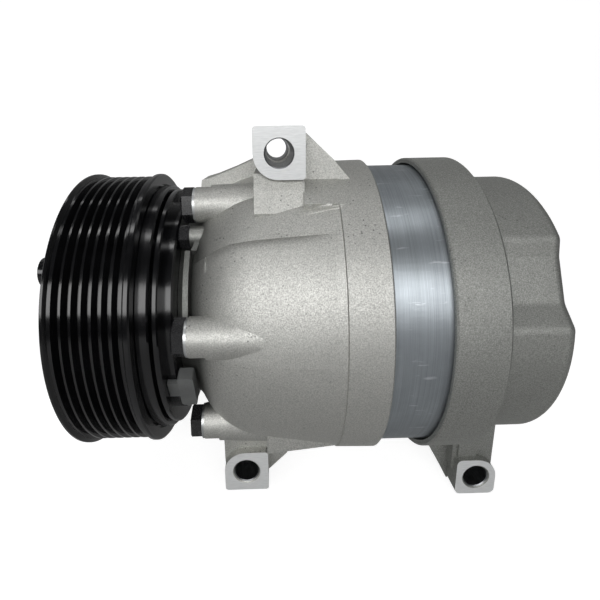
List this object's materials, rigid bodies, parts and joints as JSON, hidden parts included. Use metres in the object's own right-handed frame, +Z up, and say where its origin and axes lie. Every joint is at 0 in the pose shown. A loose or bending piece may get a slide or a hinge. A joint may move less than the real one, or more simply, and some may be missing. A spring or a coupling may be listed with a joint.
{
  "type": "automotive air conditioning compressor",
  "caption": "Belt-driven variable-displacement wobble-plate compressor with an electromagnetic clutch pulley, bolted casings and bored mounting ears.",
  "frame": {"origin": "on the shaft axis, inside the crankcase, between the pulley and the rear head", "axes": "+X along the shaft from the belt pulley to the rear head, -Y towards the machined faces of the mounting ears, +Z up"},
  "size_m": [0.2041, 0.1352, 0.1686],
  "materials": {
    "cast_aluminium": "sand-cast, blasted",
    "cast_aluminium_rear": "sand-cast, blasted",
    "turned_aluminium": "turned",
    "machined_aluminium": "machined",
    "black_steel": "gloss black",
    "black_bolt": "black phosphate",
    "zinc_steel": "zinc plated",
    "ground_steel": "ground",
    "spring_steel": "spring steel",
    "rubber": "moulded",
    "copper": "enamelled copper in resin",
    "brass": "drawn",
    "grey_plastic": "moulded"
  },
  "bodies": {
    "housing": {"front_housing": "cast_aluminium", "cylinder_block": "turned_aluminium", "rear_head": "cast_aluminium_rear", "through_bolts": "black_bolt", "bolt_washers": "zinc_steel", "coil_housing": "black_steel", "coil_connector": "grey_plastic", "control_valve": "brass", "relief_valve": "zinc_steel", "lead_clamp_screw": "black_bolt", "front_o_ring": "rubber", "suction_reed_plate": "spring_steel", "valve_plate": "machined_aluminium", "discharge_reed_plate": "spring_steel", "head_gasket": "rubber", "coil_winding": "copper", "coil_terminals": "brass", "coil_snap_ring": "zinc_steel", "bearing_snap_ring": "zinc_steel", "seal_snap_ring": "zinc_steel", "bearing_inner_race": "ground_steel", "shaft_seal": "rubber", "front_needle_bearing": "ground_steel", "rear_needle_bearing": "ground_steel", "front_thrust_bearing": "ground_steel", "guide_rails": "ground_steel", "control_valve_o_rings": "rubber", "control_valve_snap_ring": "zinc_steel", "port_seals": "rubber"},
    "pulley": {"pulley": "black_steel", "bearing_outer_race": "ground_steel", "bearing_balls": "ground_steel", "bearing_seals": "rubber"},
    "shaft": {"drive_shaft": "ground_steel", "shaft_key": "ground_steel", "shaft_nut": "zinc_steel", "clutch_hub": "black_steel", "drive_lug": "ground_steel", "destroke_spring": "spring_steel"},
    "clutch_plate": {"clutch_plate": "black_steel", "plate_rivets": "zinc_steel"},
    "sleeve": {"pivot_sleeve": "ground_steel"},
    "wobble": {"wobble_plate": "machined_aluminium", "wobble_thrust_bearing": "ground_steel", "guide_ball": "ground_steel"},
    "swash": {"swash_hub": "ground_steel", "hub_retaining_ring": "ground_steel"},
    "piston_1": {"piston_1": "machined_aluminium", "piston_rod_1": "ground_steel"},
    "piston_2": {"piston_2": "machined_aluminium", "piston_rod_2": "ground_steel"},
    "piston_3": {"piston_3": "machined_aluminium", "piston_rod_3": "ground_steel"},
    "piston_4": {"piston_4": "machined_aluminium", "piston_rod_4": "ground_steel"},
    "piston_5": {"piston_5": "machined_aluminium", "piston_rod_5": "ground_steel"}
  },
  "joints": [
    {"name": "pulley_spin", "type": "hinge", "parent": "housing", "child": "pulley", "pos_m": [-0.08, 0, 0], "axis": [1, 0, 0], "continuous": true},
    {"name": "shaft_spin", "type": "hinge", "parent": "housing", "child": "shaft", "pos_m": [0, 0, 0], "axis": [1, 0, 0], "continuous": true},
    {"name": "clutch_engage", "type": "slide", "parent": "shaft", "child": "clutch_plate", "axis": [1, 0, 0], "range_m": [0, 0.0005], "stiffness_N_per_m": 2000},
    {"name": "stroke_slide", "type": "slide", "parent": "housing", "child": "sleeve", "axis": [-1, 0, 0], "range_m": [0, 0.0104], "stiffness_N_per_m": 1500, "deforming": ["destroke_spring"]},
    {"name": "wobble_tilt", "type": "hinge", "parent": "sleeve", "child": "wobble", "pos_m": [-0.006, 0, 0], "axis": [0, 0, 1], "range_deg": [0, 18.1]},
    {"name": "swash_spin", "type": "hinge", "parent": "wobble", "child": "swash", "pos_m": [-0.006, 0, 0], "axis": [1, 0, 0], "continuous": true},
    {"name": "piston_1_stroke", "type": "slide", "parent": "housing", "child": "piston_1", "axis": [-1, 0, 0], "range_m": [0, 0.01042]},
    {"name": "piston_2_stroke", "type": "slide", "parent": "housing", "child": "piston_2", "axis": [-1, 0, 0], "range_m": [0, 0.000512]},
    {"name": "piston_3_stroke", "type": "slide", "parent": "housing", "child": "piston_3", "axis": [-1, 0, 0], "range_m": [0, 0.0043]},
    {"name": "piston_4_stroke", "type": "slide", "parent": "housing", "child": "piston_4", "axis": [-1, 0, 0], "range_m": [0, 0.01655]},
    {"name": "piston_5_stroke", "type": "slide", "parent": "housing", "child": "piston_5", "axis": [-1, 0, 0], "range_m": [0, 0.02033]}
  ],
  "couplings": [
    {"joint": "wobble_tilt", "follows": "stroke_slide", "rad_per_m": 30.303},
    {"joint": "swash_spin", "follows": "shaft_spin", "ratio": 1},
    {"joint": "piston_1_stroke", "follows": "stroke_slide", "ratio": 1},
    {"joint": "piston_2_stroke", "follows": "stroke_slide", "ratio": 0.04894},
    {"joint": "piston_3_stroke", "follows": "stroke_slide", "ratio": 0.41221},
    {"joint": "piston_4_stroke", "follows": "stroke_slide", "ratio": 1.5878},
    {"joint": "piston_5_stroke", "follows": "stroke_slide", "ratio": 1.9511}
  ]
}
